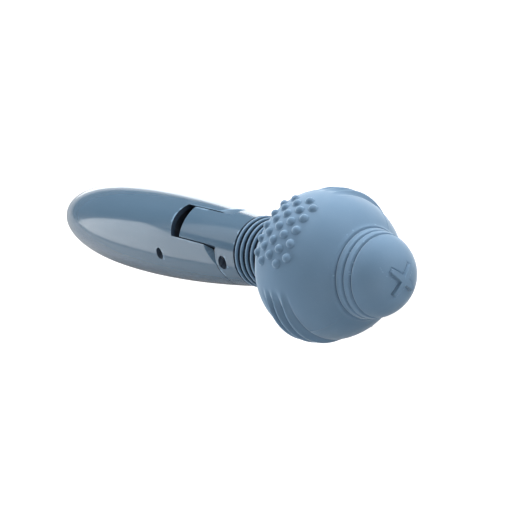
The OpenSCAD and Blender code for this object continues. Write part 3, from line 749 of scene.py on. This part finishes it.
def make_neck():
    """The neck's skin in front of the seam, with its tongue, its hinge bosses and the pin's bore."""
    form = front_of_seam(0)
    back, front = -TONGUE_LEN, -1
    tongue = [(back, TONGUE_LOW), (back, TONGUE_HIGH), (front, TONGUE_HIGH), (front, TONGUE_LOW)]
    combine(form, [prism(tongue, 1, -TONGUE_HALF, TONGUE_HALF)], "UNION")
    ends = [(-60, -FAR), (-60, FAR), (NECK_FRONT, FAR), (NECK_FRONT, -FAR)]
    combine(form, [prism(ends, 1, -45, 45)], "INTERSECT")
    bosses = [
        round_bar(PIVOT, PIVOT_BOSS_R, 1, *span)
        for span in ((PIVOT_BOSS_INSIDE, 20), (-20, -PIVOT_BOSS_INSIDE))
    ]
    bosses = [combine(part, [inside(SKIN_INSET)], "INTERSECT") for part in bosses]
    neck = turned(skin_outline(0, 0.5, NECK_STEP), SKIN_COLUMNS)
    combine(neck, [form], "INTERSECT")
    combine(neck, [inside(NECK_WALL, 1)], "DIFFERENCE")
    combine(neck, bosses, "UNION")
    recess = round_bar(PIVOT, PIVOT_RECESS_R, 1, -20, -PIVOT_RECESS_FLOOR)
    bore = round_bar(PIVOT, PIVOT_BORE_R, 1, -10, PIVOT_BORE_HALF)
    combine(neck, [recess, bore], "DIFFERENCE")
    round_edges(neck, NECK_ROUND)
    finish_skin(neck, "neck_skin")
    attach(neck, "neck")
    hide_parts("neck_housing")
    return neck


# ---- camera, floor and light ----

CAMERA_AT = (403.809, -115.526, 297.886)
CAMERA_RIGHT, CAMERA_UP, CAMERA_VIEW = (
    (0.60605, 0.46634, -0.64439), (-0.13091, 0.85754, 0.49748), (-0.78458, 0.21714, -0.58076)
)
SENSOR_WIDTH, FOCAL_LENGTH, CLIP_START = 36, 83.08, 0.01


def turn_to_row(v):
    """A direction of the wand's frame, turned into the row frame."""
    return Vector(np.asarray(v, float) @ WAND).normalized()


def make_camera():
    data = bpy.data.cameras.new("camera")
    data.sensor_width = SENSOR_WIDTH
    data.lens = FOCAL_LENGTH
    data.clip_start = CLIP_START
    camera = bpy.data.objects.new("camera", data)
    bpy.context.scene.collection.objects.link(camera)
    right, up, view = (turn_to_row(v) for v in (CAMERA_RIGHT, CAMERA_UP, CAMERA_VIEW))
    turn = Matrix((right, up, -view)).transposed().to_4x4()
    camera.matrix_world = Matrix.Translation(Vector(to_row(CAMERA_AT))) @ turn
    bpy.context.scene.camera = camera


FLOOR_HALF, WALL_R, WALL_HEIGHT, WALL_SIDES = 4, 3.9, 4, 96
FLOOR_GLOW, FLOOR_GREY, FLOOR_ROUGH, CARD_GREY = 1.0, 0.27, 0.8, 0.8
WORLD_GLOW, WORLD_TONE = 0.15, (0.85, 0.93, 1, 1)

# what the lights and cards are turned to: the middle of the wand
AIM = (0, 0, 0.03)
# name: place, width and height in metres, power in watts, and whether reflections show it
LIGHTS = {
    "key": ((-0.28, 0.85, 0.5), 1.7, 0.8, 31, False),
    "overhead": ((-0.3, 0.15, 0.8), 1.0, 0.8, 2.0, True),
    "fill": ((-0.8, -0.5, 0.45), 0.8, 0.6, 12, False)
}
# name: place, what it faces, width and height in metres, glow, and whether it also lights the wand
CARDS = {
    "floor_card": ((-0.12, 0.17, 0.0005), (-0.12, 0.17, 0.5), 0.32, 0.26, 0.8, False),
    "low_card": ((0.55, -0.42, 0.16), AIM, 1.2, 0.26, 1.85, True),
    "right_card": ((0.75, 0.6, 0.16), AIM, 0.7, 0.3, 4.5, True),
    "left_card": ((-0.75, -0.54, 0.33), AIM, 0.9, 0.6, 0.55, True)
}


def glowing(name, grey, glow):
    """A material for the studio: an even grey that also gives off white light."""
    m = bpy.data.materials.new(name)
    m.use_nodes = True
    shader = m.node_tree.nodes["Principled BSDF"]
    shader.inputs["Base Color"].default_value = (grey, grey, grey, 1)
    shader.inputs["Emission Color"].default_value = (1, 1, 1, 1)
    shader.inputs["Emission Strength"].default_value = glow
    return m


def make_floor():
    """A glowing floor, and a round wall of the same look that only the camera sees."""
    bpy.ops.mesh.primitive_plane_add(size=2 * FLOOR_HALF, location=(0, 0, 0))
    floor = bpy.context.object
    floor.name = "floor"
    bpy.ops.mesh.primitive_cylinder_add(
        radius=WALL_R, depth=WALL_HEIGHT, end_fill_type="NOTHING", vertices=WALL_SIDES,
        location=(0, 0, WALL_HEIGHT / 2)
    )
    wall = bpy.context.object
    wall.name = "wall"
    wall.visible_diffuse = False
    wall.visible_glossy = False
    wall.visible_shadow = False
    pale = glowing("floor", FLOOR_GREY, FLOOR_GLOW)
    pale.node_tree.nodes["Principled BSDF"].inputs["Roughness"].default_value = FLOOR_ROUGH
    # as lights, the two are linked to the floor alone, so that their glow doesn't wash out the wand
    alone = bpy.data.collections.new("floor_only")
    alone.objects.link(floor)
    for piece in (floor, wall):
        piece.data.materials.append(pale)
        piece.light_linking.receiver_collection = alone


def soft_box(name, at, width, height, power, reflected):
    """An area light at a row-frame point, turned towards the wand."""
    data = bpy.data.lights.new(name, "AREA")
    data.shape = "RECTANGLE"
    data.size = width
    data.size_y = height
    data.energy = power
    light = bpy.data.objects.new(name, data)
    bpy.context.scene.collection.objects.link(light)
    light.location = at
    light.rotation_euler = (Vector(AIM) - Vector(at)).to_track_quat("-Z", "Y").to_euler()
    light.visible_glossy = reflected


def make_card(name, at, facing, width, height, glow, lighting):
    """A glowing card that the camera doesn't see, only the wand's reflections and its shading."""
    bpy.ops.mesh.primitive_plane_add(size=1, location=at)
    card = bpy.context.object
    card.name = name
    card.scale = (width, height, 1)
    card.rotation_euler = (Vector(facing) - Vector(at)).to_track_quat("Z", "Y").to_euler()
    card.visible_camera = False
    card.visible_shadow = False
    card.visible_diffuse = lighting
    card.data.materials.append(glowing(name, CARD_GREY, glow))


def make_light():
    world = bpy.data.worlds.new("world")
    world.use_nodes = True
    world.node_tree.nodes["Background"].inputs["Color"].default_value = WORLD_TONE
    world.node_tree.nodes["Background"].inputs["Strength"].default_value = WORLD_GLOW
    bpy.context.scene.world = world
    bpy.context.scene.view_settings.view_transform = "Standard"
    for name, light in LIGHTS.items():
        soft_box(name, *light)
    for name, card in CARDS.items():
        make_card(name, *card)


# ---- materials ----

LOOKS = {}


def new_material(name):
    """A new material, kept in LOOKS: its node tree and its shader."""
    m = bpy.data.materials.new(name + "_look")
    m.use_nodes = True
    LOOKS[name] = m
    return m.node_tree, m.node_tree.nodes["Principled BSDF"]


def noise(tree, scale, detail=3, stretch=(1, 1, 1)):
    """Noise in the object's own coordinates; scale is in turns per metre."""
    coords = tree.nodes.new("ShaderNodeTexCoord")
    mapping = tree.nodes.new("ShaderNodeMapping")
    mapping.inputs["Scale"].default_value = stretch
    texture = tree.nodes.new("ShaderNodeTexNoise")
    texture.inputs["Scale"].default_value = scale
    texture.inputs["Detail"].default_value = detail
    tree.links.new(coords.outputs["Object"], mapping.inputs["Vector"])
    tree.links.new(mapping.outputs["Vector"], texture.inputs["Vector"])
    return texture.outputs["Fac"]


def waves(tree, scale, axis):
    """Even bands across one axis of the object's own coordinates."""
    coords = tree.nodes.new("ShaderNodeTexCoord")
    texture = tree.nodes.new("ShaderNodeTexWave")
    texture.bands_direction = axis
    texture.inputs["Scale"].default_value = scale
    tree.links.new(coords.outputs["Object"], texture.inputs["Vector"])
    return texture.outputs["Fac"]


def spread(tree, value, low, high, start=0.3, end=0.7):
    """Maps start..end of a value to low..high."""
    node = tree.nodes.new("ShaderNodeMapRange")
    for socket, number in (("From Min", start), ("From Max", end), ("To Min", low), ("To Max", high)):
        node.inputs[socket].default_value = number
    tree.links.new(value, node.inputs["Value"])
    return node.outputs["Result"]


def blend_colour(tree, value, a, b):
    """Mixes two colours, or a colour socket and a colour, by a value."""
    node = tree.nodes.new("ShaderNodeMix")
    node.data_type = "RGBA"
    tree.links.new(value, node.inputs["Factor"])
    for socket, colour in (("A", a), ("B", b)):
        found = [s for s in node.inputs if s.name == socket and s.type == "RGBA"][0]
        if isinstance(colour, tuple):
            found.default_value = (*colour, 1)
        else:
            tree.links.new(colour, found)
    return [s for s in node.outputs if s.type == "RGBA"][0]


def add_bump(tree, height, distance, strength, under=None):
    """Adds a bump, over the normal of an earlier one if there is one."""
    node = tree.nodes.new("ShaderNodeBump")
    node.inputs["Distance"].default_value = distance
    node.inputs["Strength"].default_value = strength
    tree.links.new(height, node.inputs["Height"])
    if under:
        tree.links.new(under, node.inputs["Normal"])
    return node.outputs["Normal"]


# shares of the noise and of the edge measure where specks, lighter edges (worn and painted highlight) and crevices
# of painted shade begin and end
SPECKS, WORN_AND_HIGHLIT, CREVICE_SHADE, BAND_EDGE = (0.64, 0.74), (0.53, 0.62), (0.42, 0.485), (0.45, 0.55)
SPECK_SHARE, WORN_AND_HIGHLIT_SHARE, CREVICE_SHADE_SHARE, CREVICE_SHADE_TONE = 0.07, 0.6, 0.75, 0.3
COARSE_DEPTH, COARSE_STRENGTH, GRAIN_STRENGTH = 0.0001, 0.25, 0.6
SMUDGE_SCALE, SPECK_SCALE = 3.3, 0.6


def lighter(colour):
    return tuple(min(1, 1.5 * v + 0.03) for v in colour)


def surface(name, tones, rough, mottle, grain, grain_depth=0.00002, wear_and_highlight=None, stretch=(1, 1, 1),
            bands=None, settings=()):
    """A material with mottled colour, specks, uneven roughness, two sizes of bump, lighter edges that are partly
    worn and partly a painted highlight, and painted shade in its crevices.

    tones are two colours, rough a low and a high value, mottle and grain noise scales, then the colour of the
    lighter edges, bands a wave scale, its axis and its colour, and settings further values of the shader.
    """
    tree, shader = new_material(name)
    patches = noise(tree, mottle, 5, stretch)
    fine = noise(tree, grain, 2, stretch)
    colour = blend_colour(tree, spread(tree, patches, 0, 1), *tones)
    if bands:
        scale, axis, band_colour = bands
        band = spread(tree, waves(tree, scale, axis), 0, 1, *BAND_EDGE)
        colour = blend_colour(tree, band, colour, band_colour)
    specks = spread(tree, noise(tree, grain * SPECK_SCALE, 1), 0, SPECK_SHARE, *SPECKS)
    colour = blend_colour(tree, specks, colour, lighter(tones[1]))
    if wear_and_highlight:
        shape = tree.nodes.new("ShaderNodeNewGeometry")
        # edges, by the edge measure, take a lighter colour: partly worn, partly a painted highlight
        edge = spread(tree, shape.outputs["Pointiness"], 0, WORN_AND_HIGHLIT_SHARE, *WORN_AND_HIGHLIT)
        colour = blend_colour(tree, edge, colour, wear_and_highlight)
        # painted shade: hollows, by the edge measure, darken towards a dark copy of the first tone
        painted_crevice_shade = spread(tree, shape.outputs["Pointiness"], CREVICE_SHADE_SHARE, 0, *CREVICE_SHADE)
        colour = blend_colour(tree, painted_crevice_shade, colour, tuple(CREVICE_SHADE_TONE * v for v in tones[0]))
    tree.links.new(colour, shader.inputs["Base Color"])
    smudges = noise(tree, mottle * SMUDGE_SCALE, 4, stretch)
    tree.links.new(spread(tree, smudges, *rough), shader.inputs["Roughness"])
    coarse = add_bump(tree, patches, COARSE_DEPTH, COARSE_STRENGTH)
    tree.links.new(add_bump(tree, fine, grain_depth, GRAIN_STRENGTH, coarse), shader.inputs["Normal"])
    for socket, value in settings:
        shader.inputs[socket].default_value = value


# the lighter blue of the case's and the skin's edges, partly worn and partly a painted highlight
BLUE_EDGE = (0.2, 0.32, 0.45)
METAL = (("Metallic", 1.0),)
MATERIALS = {
    # painted shade for the bottoms of the bellows' grooves
    "groove": dict(
        tones=((0.012, 0.022, 0.038), (0.018, 0.03, 0.048)), rough=(0.6, 0.75), mottle=60, grain=2200),
    # painted shade for the faces below the case's skin
    "inside_painted_shade": dict(
        tones=((0.016, 0.03, 0.052), (0.024, 0.042, 0.07)), rough=(0.4, 0.6), mottle=60, grain=2200),
    "gloss_case": dict(
        tones=((0.06, 0.11, 0.165), (0.068, 0.12, 0.178)), rough=(0.13, 0.22), mottle=30, grain=1400,
        grain_depth=0.000006, wear_and_highlight=BLUE_EDGE,
        settings=(("Coat Weight", 0.7), ("Coat Roughness", 0.08), ("Specular IOR Level", 0.55))),
    "soft_skin": dict(
        tones=((0.112, 0.188, 0.277), (0.128, 0.208, 0.302)), rough=(0.5, 0.66), mottle=38, grain=2600,
        wear_and_highlight=BLUE_EDGE,
        settings=(("Sheen Weight", 0.6), ("Sheen Roughness", 0.35), ("Sheen Tint", (0.85, 0.93, 1, 1)),
                  ("Specular IOR Level", 0.2))),
    "button_skin": dict(
        tones=((0.14, 0.22, 0.31), (0.17, 0.26, 0.36)), rough=(0.42, 0.6), mottle=120, grain=3200,
        wear_and_highlight=(0.26, 0.38, 0.5), settings=(("Sheen Weight", 0.25),)),
    "seal_rubber": dict(
        tones=((0.016, 0.017, 0.02), (0.03, 0.032, 0.036)), rough=(0.6, 0.8), mottle=300, grain=3000,
        grain_depth=0.00004, wear_and_highlight=(0.07, 0.07, 0.08)),
    "black_plastic": dict(
        tones=((0.012, 0.016, 0.024), (0.02, 0.026, 0.036)), rough=(0.32, 0.5), mottle=90, grain=2600,
        grain_depth=0.00004, wear_and_highlight=(0.06, 0.07, 0.09)),
    "battery_wrap": dict(
        tones=((0.02, 0.07, 0.22), (0.03, 0.09, 0.27)), rough=(0.22, 0.36), mottle=80, grain=900,
        grain_depth=0.00003, wear_and_highlight=(0.3, 0.4, 0.55), bands=(8, "X", (0.55, 0.6, 0.66))),
    "circuit_board": dict(
        tones=((0.01, 0.1, 0.045), (0.014, 0.13, 0.06)), rough=(0.3, 0.45), mottle=160, grain=1600,
        grain_depth=0.00003, wear_and_highlight=(0.3, 0.4, 0.2), bands=(130, "Y", (0.02, 0.17, 0.08))),
    # tones well below bright zinc plating: painted shade, so that the screws and the pin in their holes look dark
    "zinc_steel": dict(
        tones=((0.3, 0.31, 0.33), (0.4, 0.41, 0.43)), rough=(0.3, 0.5), mottle=240, grain=1800,
        wear_and_highlight=(0.8, 0.8, 0.82), stretch=(0.12, 1, 1), settings=METAL),
    "magnet": dict(
        tones=((0.09, 0.09, 0.1), (0.14, 0.14, 0.15)), rough=(0.45, 0.65), mottle=200, grain=2400,
        grain_depth=0.00004, wear_and_highlight=(0.3, 0.3, 0.3), settings=(("Metallic", 0.7),)),
    "brass": dict(
        tones=((0.62, 0.44, 0.16), (0.72, 0.53, 0.22)), rough=(0.2, 0.4), mottle=260, grain=1800,
        wear_and_highlight=(0.85, 0.7, 0.4), stretch=(0.15, 1, 1), settings=METAL),
    "windings": dict(
        tones=((0.36, 0.12, 0.04), (0.46, 0.17, 0.06)), rough=(0.25, 0.4), mottle=220, grain=1500,
        grain_depth=0.00003, wear_and_highlight=(0.7, 0.4, 0.2), bands=(340, "X", (0.2, 0.06, 0.02)),
        settings=(("Metallic", 0.8),))
}


def make_materials():
    for name, look in MATERIALS.items():
        surface(name, **look)


# ---- small pieces ----

CAP_COLUMNS, CAP_BASE_Z, CAP_BASE_R = 128, -17.4, 6.3
DISH_R, DISH_DEPTH = 4.6, 0.35
RING_R, RING_WIDTH, RING_DEPTH = 5.2, 0.22, 0.22
RIM_START, RIM_RUN, RIM_DEPTH = 6.1, 0.4, 0.35


def cap_inset(rho):
    """How far the button's face lies below its highest level, at a distance from its middle."""
    dish = DISH_DEPTH * smooth_step(1 - rho / DISH_R)
    groove = RING_DEPTH * math.exp(-((rho - RING_R) / RING_WIDTH) ** 2)
    if rho > RIM_START:
        rim = RIM_DEPTH * (1 - math.sqrt(max(1 - ((rho - RIM_START) / RIM_RUN) ** 2, 0)))
    else:
        rim = 0
    return dish + groove + rim


def make_button():
    """Power button: a dished cap that follows the handle's skin, with a ring groove near its rim."""
    steps = np.concatenate([
        np.linspace(0.25, DISH_R, 14), np.linspace(4.75, 5.65, 10), np.linspace(5.75, BUTTON_R, 9)
    ])
    turn = full_turn(CAP_COLUMNS)
    rings = []
    for rho in steps:
        x, y = BUTTON_X + rho * np.cos(turn), rho * np.sin(turn)
        level = skin_radius(x) + BUTTON_PROUD - cap_inset(rho)
        rings.append(np.column_stack([x, y, -np.sqrt(level ** 2 - y ** 2)]))
    for rho in (BUTTON_R, CAP_BASE_R):
        rings.append(np.column_stack([
            BUTTON_X + rho * np.cos(turn), rho * np.sin(turn), np.full(CAP_COLUMNS, CAP_BASE_Z)
        ]))
    level = float(skin_radius(BUTTON_X)) + BUTTON_PROUD - DISH_DEPTH
    tips = [[BUTTON_X, 0, -level], [BUTTON_X, 0, CAP_BASE_Z]]
    points = np.vstack([*rings, tips])
    cap = add_mesh("button_cap", points, capped_faces(len(rings), CAP_COLUMNS, turn=True))
    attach(cap, "button")
    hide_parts("power_button")
    return cap


SOCKET_COLUMNS, SOCKET_SHARP, AXIS_R = 96, 50, 0.001


def make_socket():
    """Charging socket: a round flange with a lip and an open bore for the plug."""
    face, seat = SOCKET_FACE, SOCKET_SEAT
    outline = [
        (face + 9.5, AXIS_R), (face + 9.5, SOCKET_R), (face + 0.5, SOCKET_R),
        (face + 0.12, SOCKET_R + 0.12), (face, SOCKET_R + 0.45), (face, 2.5), (face + 0.2, 2.7),
        (face + 0.2, 3.0), (face, 3.2), (face, FLANGE_R - 0.35), (face + 0.1, FLANGE_R - 0.1),
        (face + 0.35, FLANGE_R), (seat, FLANGE_R), (seat, SOCKET_BODY_R), (face + 12.7, SOCKET_BODY_R),
        (face + 13, SOCKET_BODY_R - 0.3), (face + 13, AXIS_R)
    ]
    rings = spin(outline[1:-1], SOCKET_COLUMNS).reshape(-1, 3)
    tips = [[outline[0][0], 0, 0], [outline[-1][0], 0, 0]]
    points = np.vstack([rings, tips])
    socket = add_mesh("socket_flange", points, capped_faces(len(outline) - 2, SOCKET_COLUMNS))
    socket.data.set_sharp_from_angle(angle=math.radians(SOCKET_SHARP))
    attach(socket, "handle")
    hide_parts("charging_socket")
    return socket


# how wide the edges of a carried-over node are rounded, in millimetres
ROUNDED_NODES = {
    "case_screws": 0.2, "hinge_pin": 0.2, "slot_liner": 0.2, "hinge_bracket": 0.25, "knuckle_guard": 0.2,
    "socket_nut": 0.25, "neck_bulkhead": 0.2, "battery_cell": 0.4, "battery_cradle": 0.3,
    "control_board": 0.1, "tact_switch": 0.15, "motor_can": 0.5, "motor_end_cap": 0.2,
    "eccentric_weight": 0.3, "capsule_rear": 0.2, "capsule_front": 0.2, "hinge_washers": 0.08
}


def dress_cad_nodes():
    """Gives each carried-over node its material, and rounds the edges of the larger ones."""
    slots = {s["node"]: s["material_slot"] for s in frame["record"]["subparts"]}
    for name, node in frame["nodes"].items():
        node.data.materials.clear()
        node.data.materials.append(LOOKS[slots[name]])
        if name in ROUNDED_NODES:
            bevel = node.modifiers.new("rounding", "BEVEL")
            bevel.width = ROUNDED_NODES[name] * MM
            bevel.segments = 2
            bevel.limit_method = "ANGLE"
            bevel.angle_limit = math.radians(SHARP_SHADING)
            bevel.harden_normals = True


make_camera()
make_floor()
make_light()
make_materials()
dress_cad_nodes()
for piece, look in (
    (make_head_cover(), "soft_skin"), (make_button(), "button_skin"), (make_socket(), "black_plastic")
):
    piece.data.materials.append(LOOKS[look])
make_spring()
for piece in make_bellows():
    paint_groove_shade(piece)
for piece in (make_handle(), make_neck()):
    paint_inside_shade(piece)
